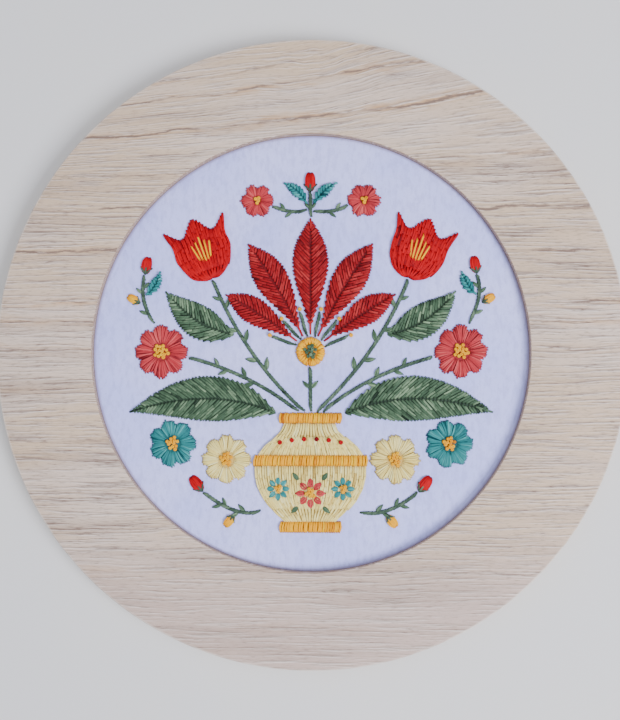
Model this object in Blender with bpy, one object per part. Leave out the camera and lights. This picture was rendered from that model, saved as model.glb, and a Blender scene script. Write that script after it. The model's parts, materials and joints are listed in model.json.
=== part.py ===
# Hoop embroidery art. A broad turned wooden board has a round window. A cotton cloth is stretched over
# an inner hoop that presses into a rebate in the board's back, so the cloth shows in the window, set
# back from the board's face. A bouquet in a vase is embroidered on the cloth in raised stitching.
#
# Metres, +Z up. The work lies on its back: the board's back is at Z = 0, and the top of the picture
# is towards +Y. The tables of the picture are in millimetres from the cloth's centre, and a mirrored
# row is the left one of a pair.

import collections
import math

import bmesh
import bpy
from mathutils import Matrix, Vector

MM = 0.001
GAP = 0.3 * MM  # between neighbouring pieces

# Board
BOARD_RADIUS = 140 * MM
BOARD_THICKNESS = 12 * MM
WINDOW_RADIUS = 97.25 * MM
LIP_THICKNESS = 4 * MM  # the wood left in front of the cloth
REBATE_RADIUS = 104 * MM
EDGE_ROUNDING = 0.7 * MM
ROUNDING_STEPS = 2
BOARD_STEPS = 96
SHARP_ANGLE = 35  # edges that turn more than this many degrees look sharp

# Inner hoop and cloth
CLOTH_THICKNESS = 1 * MM
CLOTH_FOLD = 0.8 * MM  # rounding where the cloth turns down over the hoop
HOOP_WALL = 8 * MM
HOOP_INSET = 1 * MM  # how far the hoop's back and the cloth's edge stand in from the board's back
HOOP_STEPS = 72
CLOTH_STEPS = 96

CLOTH_FACE = BOARD_THICKNESS - LIP_THICKNESS - GAP
CLOTH_UNDERSIDE = CLOTH_FACE - CLOTH_THICKNESS
CLOTH_OUTER_RADIUS = REBATE_RADIUS - GAP
CLOTH_INNER_RADIUS = CLOTH_OUTER_RADIUS - CLOTH_THICKNESS
HOOP_FRONT = CLOTH_UNDERSIDE - GAP
HOOP_OUTER_RADIUS = CLOTH_INNER_RADIUS - GAP
HOOP_INNER_RADIUS = HOOP_OUTER_RADIUS - HOOP_WALL

# Raised stitching
STITCH_BASE = CLOTH_FACE + GAP
FILL_HEIGHT = 1.1 * MM  # satin and feather fillings
KNOT_HEIGHT = 1.5 * MM  # clusters of knots
STEM_HEIGHT = 0.7 * MM
STEM_WIDTH = 1.6 * MM
EDGE_SLOPE = 1.5 * MM  # how far in a filling reaches its height
EDGE_SLOPE_SHARE = 0.35  # and at most this share of its half width
POINTED = 0.05 * MM  # a strip narrower than this ends in a point
LEAF_STATIONS = 14
SMALL_LEAF_WIDTH = 10  # a leaf narrower than this has fewer stations
SMALL_LEAF_STATIONS = 8
STEM_STATIONS = 10
STRAIGHT_STEM_STATIONS = 3
PETAL_NOTCH = 0.17  # depth of the notch between two petals, as a share of the radius
NOTCH_SHARPNESS = 5
NOTCH_DROP = 0.35  # how much lower the filling is in a notch, as a share of its height
OUTER_SHOULDER = 0.8  # share of the height near a petal's edge
INNER_SHOULDER = 0.7  # and beside the knots
STATIONS_PER_PETAL = 5
DOME_STATIONS = 14
CROWN_RISE = 0.05  # how much higher than its last ring a crown's middle is, as a share of the height
DOME_RINGS = ((1.0, 0.0), (0.82, 0.75), (0.42, 1.0))  # share of the radius, share of the height
OUTLINE_RINGS = ((1.0, 0.0), (0.86, 0.95), (0.45, 1.05))

# Colours as they look, 0 to 255
WOOD = (200, 187, 174)
HOOP_WOOD = (206, 184, 150)
CLOTH = (205, 212, 236)
BRIGHT_RED = (212, 24, 26)
BRICK_RED = (176, 44, 50)
SAGE = (84, 122, 94)
DARK_SAGE = (62, 88, 80)
CREAM = (226, 208, 158)
GOLD = (240, 180, 40)
CORAL = (214, 104, 98)
TEAL = (74, 150, 155)

Leaf = collections.namedtuple("Leaf", "name colour root bend tip width belly crease mirrored")
Stem = collections.namedtuple("Stem", "name root bend tip mirrored")
Flower = collections.namedtuple("Flower", "name colour centre radius petals knots mirrored")
Bud = collections.namedtuple("Bud", "name colour centre length width heading mirrored")
Band = collections.namedtuple("Band", "name colour rows")

LEAVES = (
    Leaf("leaf_long", SAGE, (-15.5, -27.5), (-44, -14.5), (-81, -27), 20, 0.45, 0.55, True),
    Leaf("leaf_upper", SAGE, (-34.4, 8.2), (-50, 9), (-65, 27), 15, 0.45, 0.55, True),
    Leaf("leaf_top", TEAL, (-1.6, 66.5), (-5, 73), (-12, 76), 5, 0.5, 0.75, True),
    Leaf("leaf_side", TEAL, (-74, 25.5), (-69.5, 28.5), (-67.5, 36), 4.6, 0.5, 0.75, True),
)

STEMS = (
    Stem("stem_bloom", (0, -26.8), (0, -18), (0, -7), False),
    Stem("stem_tulip", (-2.7, -26.8), (-30, -2), (-43.8, 32.2), True),
    Stem("stem_coral", (-5.4, -26.8), (-26, -10), (-54.4, -2.6), True),
    Stem("stem_top", (0, 60.6), (0, 66), (0, 72), False),
    Stem("stem_small", (-1.4, 63.6), (-9, 61.6), (-16.9, 65.6), True),
    Stem("stem_side", (-70.4, 12.6), (-77.5, 24), (-74.5, 34.4), True),
    Stem("stem_low", (-22, -71), (-33, -74.5), (-47.6, -62.6), True),
)

FLOWERS = (
    Flower("flower_coral", CORAL, (-67, 0), 12, 8, 3.4, True),
    Flower("flower_cream", CREAM, (-37.6, -48), 11, 8, 3.0, True),
    Flower("flower_teal", TEAL, (-61.6, -41), 10.6, 7, 3.0, True),
    Flower("flower_small", CORAL, (-24, 68), 7.5, 6, 1.8, True),
)
KNOTTED_RADIUS = 2.5  # a flower with a smaller centre has its few knots sewn over the petals

BUDS = (
    Bud("bud_top", BRIGHT_RED, (0, 76.6), 8.5, 5.5, 90, False),
    Bud("bud_side", BRIGHT_RED, (-73.6, 39), 7.5, 5, 80, True),
    Bud("bud_side_low", GOLD, (-79.6, 23.6), 6, 4.2, 150, True),
    Bud("bud_low", BRIGHT_RED, (-50.8, -58.8), 8, 5.2, 128, True),
    Bud("bud_low_inner", GOLD, (-36.2, -75.4), 6, 4.2, 230, True),
)

# The bloom's heart is at the centre of the picture. Each petal starts outside the heart and bends
# outwards at its tip.
HEART_RADIUS = 6.6
PETAL_ROOT = 7.6
PETAL_BELLY = 0.62
PETAL_CREASE = 0.6
PETAL_BENDS_AT = 0.6  # share of its reach where a petal starts to bend
Petal = collections.namedtuple("Petal", "name angle length width bend mirrored")
PETALS = (
    Petal("petal_middle", 90, 60, 16, 0, False),
    Petal("petal_inner", 116, 56, 15, 4, True),
    Petal("petal_outer", 142, 46, 12, 4, True),
)

# Outline of a tulip that opens towards +Y, right half from its base to its middle tip
TULIP_CENTRE = (-48.2, 45)
TULIP_TURN = 20
TULIP_HALF = ((0, -13), (8.5, -10), (12.6, -2), (12.8, 6), (14.6, 14), (7.2, 8.6), (0, 15.6))
TULIP_STEPS = 3  # points on each stretch of the outline

# The vase from foot to rim: each row is a height and half the width there
VASE = (
    Band("vase_foot", GOLD, ((-80.2, 13.4), (-78, 14), (-75.8, 13.4))),
    Band("vase_lower", CREAM, ((-75.5, 10.8), (-71, 16), (-66, 20.6), (-61, 23.4), (-56, 24.8), (-51.1, 25))),
    Band("vase_belt", GOLD, ((-50.8, 25.4), (-48.6, 25.6), (-46.4, 25))),
    Band("vase_upper", CREAM, ((-46.1, 23.8), (-42.4, 20.8), (-39, 16.6), (-35.5, 12.8), (-32.1, 11.4))),
    Band("vase_rim", GOLD, ((-31.8, 13.6), (-29.7, 14.2), (-27.6, 13.8))),
)


def linear(channel):
    value = channel / 255
    return value / 12.92 if value <= 0.04045 else ((value + 0.055) / 1.055) ** 2.4


def material(name, colour, roughness):
    found = bpy.data.materials.get(name)
    if found:
        return found
    made = bpy.data.materials.new(name)
    made.use_nodes = True
    shader = made.node_tree.nodes["Principled BSDF"]
    rgba = [linear(channel) for channel in colour] + [1.0]
    shader.inputs["Base Color"].default_value = rgba
    shader.inputs["Roughness"].default_value = roughness
    made.diffuse_color = rgba
    return made


def thread(colour):
    return material("thread_%d_%d_%d" % colour, colour, 0.6)


def finish(name, mesh, surface):
    bmesh.ops.remove_doubles(mesh, verts=mesh.verts, dist=0.001 * MM)
    bmesh.ops.recalc_face_normals(mesh, faces=mesh.faces)
    data = bpy.data.meshes.new(name)
    mesh.to_mesh(data)
    mesh.free()
    data.materials.append(surface)
    data.shade_smooth()
    data.set_sharp_from_angle(angle=math.radians(SHARP_ANGLE))
    made = bpy.data.objects.new(name, data)
    bpy.context.scene.collection.objects.link(made)
    return made


# Turned pieces: an outline of (radius, height) points spun round Z


def rounded_corner(radius, height, towards_axis):
    # A quarter round on the board's face, from its side on to its face
    centre = radius + (EDGE_ROUNDING if towards_axis else -EDGE_ROUNDING)
    points = []
    for step in range(ROUNDING_STEPS + 1):
        turn = math.radians(90 * step / ROUNDING_STEPS)
        out = EDGE_ROUNDING * math.cos(turn) * (-1 if towards_axis else 1)
        points.append((centre + out, height - EDGE_ROUNDING + EDGE_ROUNDING * math.sin(turn)))
    return points


def turned(name, outline, steps, closed, surface):
    mesh = bmesh.new()
    corners = [mesh.verts.new((radius, 0, height)) for radius, height in outline]
    ends = corners[1:] + corners[:1] if closed else corners[1:]
    edges = [mesh.edges.new(pair) for pair in zip(corners, ends)]
    centre = (0, 0, 0)
    axis = (0, 0, 1)
    bmesh.ops.spin(
        mesh, geom=corners + edges, cent=centre, axis=axis, angle=math.tau, steps=steps, use_merge=True
    )
    return finish(name, mesh, surface)


def make_board():
    lip_underside = BOARD_THICKNESS - LIP_THICKNESS
    outline = [(BOARD_RADIUS, 0)]
    outline += rounded_corner(BOARD_RADIUS, BOARD_THICKNESS, False)
    outline += reversed(rounded_corner(WINDOW_RADIUS, BOARD_THICKNESS, True))
    outline += [(WINDOW_RADIUS, lip_underside), (REBATE_RADIUS, lip_underside), (REBATE_RADIUS, 0)]
    turned("frame_board", outline, BOARD_STEPS, True, material("board_wood", WOOD, 0.65))


def make_hoop():
    outline = [
        (HOOP_OUTER_RADIUS, HOOP_INSET),
        (HOOP_OUTER_RADIUS, HOOP_FRONT),
        (HOOP_INNER_RADIUS, HOOP_FRONT),
        (HOOP_INNER_RADIUS, HOOP_INSET),
    ]
    turned("inner_hoop", outline, HOOP_STEPS, True, material("hoop_wood", HOOP_WOOD, 0.7))


def make_cloth():
    outline = [
        (0, CLOTH_FACE),
        (CLOTH_OUTER_RADIUS - CLOTH_FOLD, CLOTH_FACE),
        (CLOTH_OUTER_RADIUS, CLOTH_FACE - CLOTH_FOLD),
        (CLOTH_OUTER_RADIUS, HOOP_INSET),
        (CLOTH_INNER_RADIUS, HOOP_INSET),
        (CLOTH_INNER_RADIUS, CLOTH_UNDERSIDE),
        (0, CLOTH_UNDERSIDE),
    ]
    turned("cloth", outline, CLOTH_STEPS, False, material("cloth_cotton", CLOTH, 0.9))


# Raised fillings: low crowned solids on a flat base


def join_rows(mesh, first, second):
    # Faces between two neighbouring cross sections, one of which may be a single point
    count = max(len(first), len(second))
    for index in range(count):
        after = (index + 1) % count
        corners = []
        for row, places in ((first, (index, after)), (second, (after, index))):
            corners += [row[place] for place in places] if len(row) > 1 else [row[0]]
        mesh.faces.new(corners)


def make_strip(name, surface, points, half_widths, height, crease):
    # A filling along a line: it rises from both edges, and its middle is creased to a share of its height
    mesh = bmesh.new()
    rows = []
    last = len(points) - 1
    for index, (point, half_width) in enumerate(zip(points, half_widths)):
        if half_width < POINTED:
            rows.append([mesh.verts.new((point.x, point.y, STITCH_BASE))])
            continue
        along = points[min(index + 1, last)] - points[max(index - 1, 0)]
        side = Vector((-along.y, along.x)).normalized()
        slope = min(EDGE_SLOPE, half_width * EDGE_SLOPE_SHARE)
        offsets = (-half_width, slope - half_width, 0, half_width - slope, half_width)
        lifts = (0, height, height * crease, height, 0)
        row = []
        for offset, lift in zip(offsets, lifts):
            place = point + side * offset
            row.append(mesh.verts.new((place.x, place.y, STITCH_BASE + lift)))
        rows.append(row)
    for first, second in zip(rows, rows[1:]):
        join_rows(mesh, first, second)
    for row in (rows[0], rows[-1]):
        if len(row) > 1:
            mesh.faces.new(row)
    finish(name, mesh, surface)


def bent_line(root, bend, tip, steps):
    root, bend, tip = (Vector(point) * MM for point in (root, bend, tip))
    points = []
    for step in range(steps + 1):
        share = step / steps
        points.append(root * (1 - share) ** 2 + bend * 2 * share * (1 - share) + tip * share**2)
    return points


def leaf_widths(width, belly, steps):
    # Half widths of a leaf that is pointed at both ends and widest at belly, a share of its length
    power = math.log(0.5) / math.log(belly)
    return [width * MM / 2 * math.sin(math.pi * (step / steps) ** power) for step in range(steps + 1)]


def make_leaf(name, row, sign):
    root, bend, tip = ((x * sign, y) for x, y in (row.root, row.bend, row.tip))
    steps = LEAF_STATIONS if row.width > SMALL_LEAF_WIDTH else SMALL_LEAF_STATIONS
    points = bent_line(root, bend, tip, steps)
    widths = leaf_widths(row.width, row.belly, steps)
    make_strip(name, thread(row.colour), points, widths, FILL_HEIGHT, row.crease)


def make_stem(name, row, sign):
    root, bend, tip = ((x * sign, y) for x, y in (row.root, row.bend, row.tip))
    steps = STEM_STATIONS if row.mirrored else STRAIGHT_STEM_STATIONS
    points = bent_line(root, bend, tip, steps)
    make_strip(name, thread(DARK_SAGE), points, [STEM_WIDTH / 2] * (steps + 1), STEM_HEIGHT, 1.0)


def make_petal(name, row, sign):
    angle = math.radians(row.angle)
    tip_angle = angle + math.radians(row.bend)

    def place(reach, turn):
        return (math.cos(turn) * reach * sign, math.sin(turn) * reach)

    root = place(PETAL_ROOT, angle)
    bend = place(row.length * PETAL_BENDS_AT, angle)
    points = bent_line(root, bend, place(row.length, tip_angle), LEAF_STATIONS)
    widths = leaf_widths(row.width, PETAL_BELLY, LEAF_STATIONS)
    make_strip(name, thread(BRICK_RED), points, widths, FILL_HEIGHT, PETAL_CREASE)


def make_flower(name, row, sign):
    # A ring of petals round the hollow that its knots fill
    mesh = bmesh.new()
    centre = Vector((row.centre[0] * sign, row.centre[1])) * MM
    hollow = row.knots * MM + GAP
    stations = row.petals * STATIONS_PER_PETAL
    rows = []
    for station in range(stations):
        turn = math.tau * station / stations
        notch = abs(math.sin(row.petals * turn / 2)) ** NOTCH_SHARPNESS
        edge = row.radius * MM * (1 - PETAL_NOTCH * notch)
        height = FILL_HEIGHT * (1 - NOTCH_DROP * notch)
        section = (
            (edge, 0),
            (edge - EDGE_SLOPE / 2, height * OUTER_SHOULDER),
            ((edge + hollow) / 2, height),
            (hollow, height * INNER_SHOULDER),
            (hollow, 0),
        )
        direction = Vector((math.cos(turn), math.sin(turn)))
        places = [(centre + direction * reach, lift) for reach, lift in section]
        rows.append([mesh.verts.new((place.x, place.y, STITCH_BASE + lift)) for place, lift in places])
    for first, second in zip(rows, rows[1:] + rows[:1]):
        join_rows(mesh, first, second)
    finish(name, mesh, thread(row.colour))
    if row.knots > KNOTTED_RADIUS:
        make_dome(name.replace("flower", "knots"), GOLD, centre, (row.knots, row.knots), 0, KNOT_HEIGHT)


def make_crown(name, surface, centre, outline, rings, height):
    # A filling from a closed outline about its own centre, crowned in rings
    mesh = bmesh.new()
    rows = []
    for share, lift in rings:
        z = STITCH_BASE + height * lift
        places = [centre + point * share for point in outline]
        rows.append([mesh.verts.new((place.x, place.y, z)) for place in places])
    top = mesh.verts.new((centre.x, centre.y, STITCH_BASE + height * (rings[-1][1] + CROWN_RISE)))
    for first, second in zip(rows, rows[1:] + [[top]]):
        join_rows(mesh, first, second)
    mesh.faces.new(rows[0])
    finish(name, mesh, surface)


def make_dome(name, colour, centre, radii, heading, height):
    turned_by = Matrix.Rotation(math.radians(heading), 2)
    outline = []
    for station in range(DOME_STATIONS):
        turn = math.tau * station / DOME_STATIONS
        outline.append(turned_by @ Vector((radii[0] * math.cos(turn), radii[1] * math.sin(turn))) * MM)
    make_crown(name, thread(colour), centre, outline, DOME_RINGS, height)


def make_bud(name, row, sign):
    centre = Vector((row.centre[0] * sign, row.centre[1])) * MM
    heading = row.heading if sign > 0 else 180 - row.heading
    make_dome(name, row.colour, centre, (row.length / 2, row.width / 2), heading, FILL_HEIGHT)


def smooth_outline(corners, steps):
    # A closed Catmull-Rom curve through the corners
    points = []
    count = len(corners)
    for index in range(count):
        before, start, end, after = (corners[(index + shift) % count] for shift in (-1, 0, 1, 2))
        for step in range(steps):
            t = step / steps
            curve = start * 2 + (end - before) * t
            curve += (before * 2 - start * 5 + end * 4 - after) * t**2
            curve += (start * 3 - before - end * 3 + after) * t**3
            points.append(curve / 2)
    return points


def make_tulip(name, sign):
    right = [Vector(point) * MM for point in TULIP_HALF]
    left = [Vector((-point.x, point.y)) for point in reversed(right[1:-1])]
    turned_by = Matrix.Rotation(math.radians(TULIP_TURN * sign), 2)
    outline = [turned_by @ point for point in smooth_outline(right + left, TULIP_STEPS)]
    centre = Vector((TULIP_CENTRE[0] * sign, TULIP_CENTRE[1])) * MM
    make_crown(name, thread(BRIGHT_RED), centre, outline, OUTLINE_RINGS, FILL_HEIGHT)


def make_vase():
    for band in VASE:
        points = [Vector((0, height)) * MM for height, half_width in band.rows]
        widths = [half_width * MM for height, half_width in band.rows]
        make_strip(band.name, thread(band.colour), points, widths, FILL_HEIGHT, 1.0)


def make_each(make, rows):
    # The tables give the left one of a pair, so a sign of 1 keeps it there and -1 mirrors it
    for row in rows:
        if row.mirrored:
            make(row.name + "_left", row, 1)
            make(row.name + "_right", row, -1)
        else:
            make(row.name, row, 1)


def main():
    for old in list(bpy.data.objects):
        bpy.data.objects.remove(old)
    make_board()
    make_hoop()
    make_cloth()
    make_vase()
    make_dome("bloom_heart", GOLD, Vector((0, 0)), (HEART_RADIUS, HEART_RADIUS), 0, FILL_HEIGHT)
    make_each(make_petal, PETALS)
    make_each(make_stem, STEMS)
    make_each(make_leaf, LEAVES)
    make_each(make_flower, FLOWERS)
    make_each(make_bud, BUDS)
    make_tulip("tulip_left", 1)
    make_tulip("tulip_right", -1)


main()
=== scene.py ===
import json
from math import atan2, cos, log, pi, radians, sin, sqrt, tan, tau

import bpy
import numpy as np
from mathutils import Matrix, Vector


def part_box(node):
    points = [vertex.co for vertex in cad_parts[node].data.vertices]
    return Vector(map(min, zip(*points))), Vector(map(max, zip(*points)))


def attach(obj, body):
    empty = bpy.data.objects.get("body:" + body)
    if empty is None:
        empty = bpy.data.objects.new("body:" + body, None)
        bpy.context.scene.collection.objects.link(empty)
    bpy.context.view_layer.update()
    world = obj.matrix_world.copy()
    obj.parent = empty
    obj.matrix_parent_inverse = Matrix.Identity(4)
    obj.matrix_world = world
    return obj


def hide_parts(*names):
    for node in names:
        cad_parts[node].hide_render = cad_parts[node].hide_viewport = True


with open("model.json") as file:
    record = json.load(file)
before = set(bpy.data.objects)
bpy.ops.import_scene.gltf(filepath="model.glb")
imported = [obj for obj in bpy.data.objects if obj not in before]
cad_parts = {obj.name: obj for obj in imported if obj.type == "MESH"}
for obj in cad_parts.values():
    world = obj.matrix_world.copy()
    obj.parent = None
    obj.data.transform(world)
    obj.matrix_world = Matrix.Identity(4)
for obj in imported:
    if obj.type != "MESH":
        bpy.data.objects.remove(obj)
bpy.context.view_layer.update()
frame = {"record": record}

# A round wooden hoop frame with embroidered cotton, lying on its back with the picture up.
# Blender works in metres. The picture's own sizes are in millimetres from the cloth's centre,
# and a motif that has no node of just its name is the left one of a pair.
mm = 0.001
chance = np.random.default_rng(23)
slotOf = {part["node"]: part["material_slot"] for part in frame["record"]["subparts"]}

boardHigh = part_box("frame_board")[1]
hoopLow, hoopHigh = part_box("inner_hoop")
clothLow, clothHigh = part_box("cloth")
clothTop = clothHigh.z / mm
clothThickness = 0.6


def asSeen(*channels):
    # A colour, 0 to 255, as the linear colour that a node takes
    shares = [channel / 255 for channel in channels]
    return [share / 12.92 if share < 0.04 else ((share + 0.055) / 1.055) ** 2.4 for share in shares] + [1]


def addObject(data):
    made = bpy.data.objects.new(data.name, data)
    bpy.context.scene.collection.objects.link(made)
    return made


# Points, lines and faces

def towards(turn):
    return np.stack([np.cos(turn), np.sin(turn)], axis=-1)


def unitCircle(count):
    return towards(np.linspace(0, tau, count, endpoint=False))


def unit(vectors):
    return vectors / np.maximum(np.linalg.norm(vectors, axis=-1, keepdims=True), 1e-9)


def leftOf(forward):
    return np.stack([-forward[..., 1], forward[..., 0]], axis=-1)


def lengthsAlong(line):
    steps = np.linalg.norm(np.diff(line, axis=-2), axis=-1)
    return np.concatenate([steps[..., :1] * 0, np.cumsum(steps, axis=-1)], axis=-1)


def readAt(places, reach, values):
    return np.stack([np.interp(places, reach, column) for column in values.T], axis=-1)


def pointsAlong(line, places):
    return readAt(places, lengthsAlong(line), line)


def bentLine(root, bend, tip, steps):
    share = np.linspace(0, 1, steps + 1)[:, None]
    return root * (1 - share) ** 2 + bend * 2 * share * (1 - share) + tip * share ** 2


def insideBy(points, outline):
    # How far each point is inside a closed outline, negative outside it
    ends = np.roll(outline, -1, axis=0)
    edge = ends - outline
    to = points[:, None, :] - outline[None]
    share = np.clip((to * edge).sum(-1) / np.maximum((edge ** 2).sum(-1), 1e-9), 0, 1)
    gap = np.linalg.norm(to - edge * share[..., None], axis=-1).min(axis=1)
    above = (outline[None, :, 1] > points[:, None, 1]) != (ends[None, :, 1] > points[:, None, 1])
    rise = np.where(np.abs(edge[:, 1]) < 1e-9, 1e-9, edge[:, 1])
    crossing = outline[None, :, 0] + (points[:, None, 1] - outline[None, :, 1]) * (edge[:, 0] / rise)
    odd = (above & (points[:, None, 0] < crossing)).sum(axis=1) % 2 == 1
    return np.where(odd, gap, -gap)


def gridFaces(index, closed=True):
    # Faces between the neighbours in a grid of points, whose rows are rings when closed
    after = np.roll(index, -1, axis=-1)
    if not closed:
        index, after = index[..., :-1], after[..., :-1]
    return np.stack([index[..., :-1, :], after[..., :-1, :], after[..., 1:, :], index[..., 1:, :]], axis=-1)


def cornerValues(rows, columns):
    # For the four corners of each face in a grid, the value of its row and that of its column
    byRow = np.stack([rows[..., :-1], rows[..., :-1], rows[..., 1:], rows[..., 1:]], axis=-1)
    byColumn = np.stack([columns[:-1], columns[1:], columns[1:], columns[:-1]], axis=-1)
    return np.stack(np.broadcast_arrays(byRow[..., None, :], byColumn), axis=-1)


def ringsOf(corners, steps):
    # A ring of points round the middle for each radius and height
    heights = np.broadcast_to(corners[:, None, 1:], (len(corners), steps, 1))
    return np.concatenate([corners[:, None, :1] * unitCircle(steps), heights], axis=-1)


def meshOf(name, points, faces):
    data = bpy.data.meshes.new(name)
    data.from_pydata((np.reshape(points, (-1, 3)) * mm).tolist(), [], faces)
    data.shade_smooth()
    return data


# Nodes for the materials. They go into the tree that newGroup or newMaterial opened last

opened = {}


def fill(sockets, values):
    # A link where a value comes from another node, or else the socket's own number or colour
    for place, value in values.items():
        if isinstance(value, bpy.types.NodeSocket):
            opened["tree"].links.new(value, sockets[place])
        else:
            sockets[place].default_value = value


def addNode(kind, inputs=None, **settings):
    node = opened["tree"].nodes.new("ShaderNode" + kind)
    for name, value in settings.items():
        setattr(node, name, value)
    fill(node.inputs, inputs or {})
    return node


def calc(operation, *values, clamp=False):
    return addNode("Math", dict(enumerate(values)), operation=operation, use_clamp=clamp).outputs[0]


def plus(first, second, clamp=False):
    return calc("ADD", first, second, clamp=clamp)


def minus(first, second):
    return calc("SUBTRACT", first, second)


def times(first, second, clamp=False):
    return calc("MULTIPLY", first, second, clamp=clamp)


def vectorCalc(operation, first, second):
    return addNode("VectorMath", {0: first, 1: second}, operation=operation).outputs


def stretch(vector, scale):
    return vectorCalc("MULTIPLY", vector, scale)[0]


def farFrom(vector, point):
    return vectorCalc("DISTANCE", vector, point)["Value"]


def movedBy(vector, y):
    return vectorCalc("ADD", vector, addNode("CombineXYZ", {"Y": y}).outputs[0])[0]


def axes(vector):
    return addNode("SeparateXYZ", {0: vector}).outputs


def inMillimetres():
    return stretch(addNode("TexCoord").outputs["Object"], (1000, 1000, 1000))


def noise(place, waves, detail, roughness=0.5):
    # waves is how many go to a millimetre along each axis
    given = {"Vector": stretch(place, waves), "Scale": 1, "Detail": detail, "Roughness": roughness}
    return addNode("TexNoise", given).outputs["Fac"]


def spread(value, low, high, newLow=0, newHigh=1):
    given = dict(enumerate((value, low, high, newLow, newHigh)))
    return addNode("MapRange", given, interpolation_type="SMOOTHSTEP").outputs["Result"]


def mixColour(share, first, second):
    return addNode("Mix", {0: share, 6: first, 7: second}, data_type="RGBA").outputs[2]


def newGroup(name, inputs):
    # A group that makes a colour, a roughness and a height
    group = bpy.data.node_groups.new(name, "ShaderNodeTree")
    outputs = {"Color": "Color", "Roughness": "Float", "Height": "Float"}
    for way, sockets in (("INPUT", inputs), ("OUTPUT", outputs)):
        for label, kind in sockets.items():
            group.interface.new_socket(label, in_out=way, socket_type="NodeSocket" + kind)
    opened["tree"] = group
    return group, group.nodes.new("NodeGroupInput").outputs, group.nodes.new("NodeGroupOutput").inputs


def newMaterial(name):
    made = bpy.data.materials.new(name)
    made.use_nodes = True
    opened["tree"] = made.node_tree
    return made, made.node_tree.nodes["Principled BSDF"].inputs


def paint(shader, colour, roughness, height, relief, fixed):
    # relief is how deep the bump is in millimetres, and how strong
    bump = addNode("Bump", {"Height": height, "Distance": relief[0] * mm, "Strength": relief[1]})
    fill(shader, {"Base Color": colour, "Roughness": roughness, "Normal": bump.outputs["Normal"], **fixed})


# Wood: grain runs along the first number of Place and is read in millimetres

woodGrain = {
    # Noises: waves per millimetre along the grain, across it and down, then detail and roughness
    "pore": ((0.038, 0.92, 0.4), 4, 0.6),
    "fleck": ((0.26, 2.2, 0.9), 3, 0.6),
    "band": ((0.01, 0.11, 0.1), 3),
    "tone": ((0.009, 0.035, 0.05), 2),
    "wander": ((0.014, 0.035, 0.02), 3),
    "wanderSize": 4.5,        # how far the grain strays, in millimetres
    "lip": 0.4,               # how far below a streak its painted highlight shows
    "lipHighlight": (0.93, 0.8, 0.6, 1),
    # Where in its noise each begins and is full, then its strength at both
    "poreShade": (0.45, 0.68, 0, 0.68),
    "fleckShade": (0.5, 0.74, 0, 0.52),
    "bandShade": (0.46, 0.68, 0, 0.26),
    "lipLight": (0.48, 0.66, 0, 0.75),
    "warmth": (0.38, 0.62),
    "roughness": (0.56, 0.8),
    "fleckHeight": -0.5,
}


def makeWoodGroup():
    inputs = {"Place": "Vector", "Pale": "Color", "Warm": "Color", "Dark": "Color",
              "Lines": "Float", "Contrast": "Float"}
    group, given, made = newGroup("planed wood", inputs)
    wander = noise(given["Place"], *woodGrain["wander"])
    bent = movedBy(given["Place"], times(minus(wander, 0.5), woodGrain["wanderSize"]))
    pore, fleck, band, tone = [noise(bent, *woodGrain[name]) for name in ("pore", "fleck", "band", "tone")]
    lip = noise(movedBy(bent, woodGrain["lip"]), *woodGrain["pore"])
    shade = plus(spread(pore, *woodGrain["poreShade"]), spread(band, *woodGrain["bandShade"]))
    shade = plus(shade, spread(fleck, *woodGrain["fleckShade"]))
    shade = plus(times(shade, given["Contrast"]), given["Lines"], clamp=True)
    body = mixColour(spread(tone, *woodGrain["warmth"]), given["Pale"], given["Warm"])
    # A painted highlight along one side of each streak
    body = mixColour(spread(lip, *woodGrain["lipLight"]), body, woodGrain["lipHighlight"])
    fill(made, {"Color": mixColour(shade, body, given["Dark"]),
                "Roughness": spread(shade, 0, 1, *woodGrain["roughness"]),
                "Height": minus(times(fleck, woodGrain["fleckHeight"]), shade)})
    return group


woodGroup = makeWoodGroup()


def paintWood(shader, given, relief, gloss, share=0, tone=(0, 0, 0, 1)):
    # share is how much of the tone lies over the wood's own colour
    wood = addNode("Group", given, node_tree=woodGroup).outputs
    colour = mixColour(share, wood["Color"], tone)
    paint(shader, colour, wood["Roughness"], wood["Height"], relief, {"Specular IOR Level": gloss})


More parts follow.
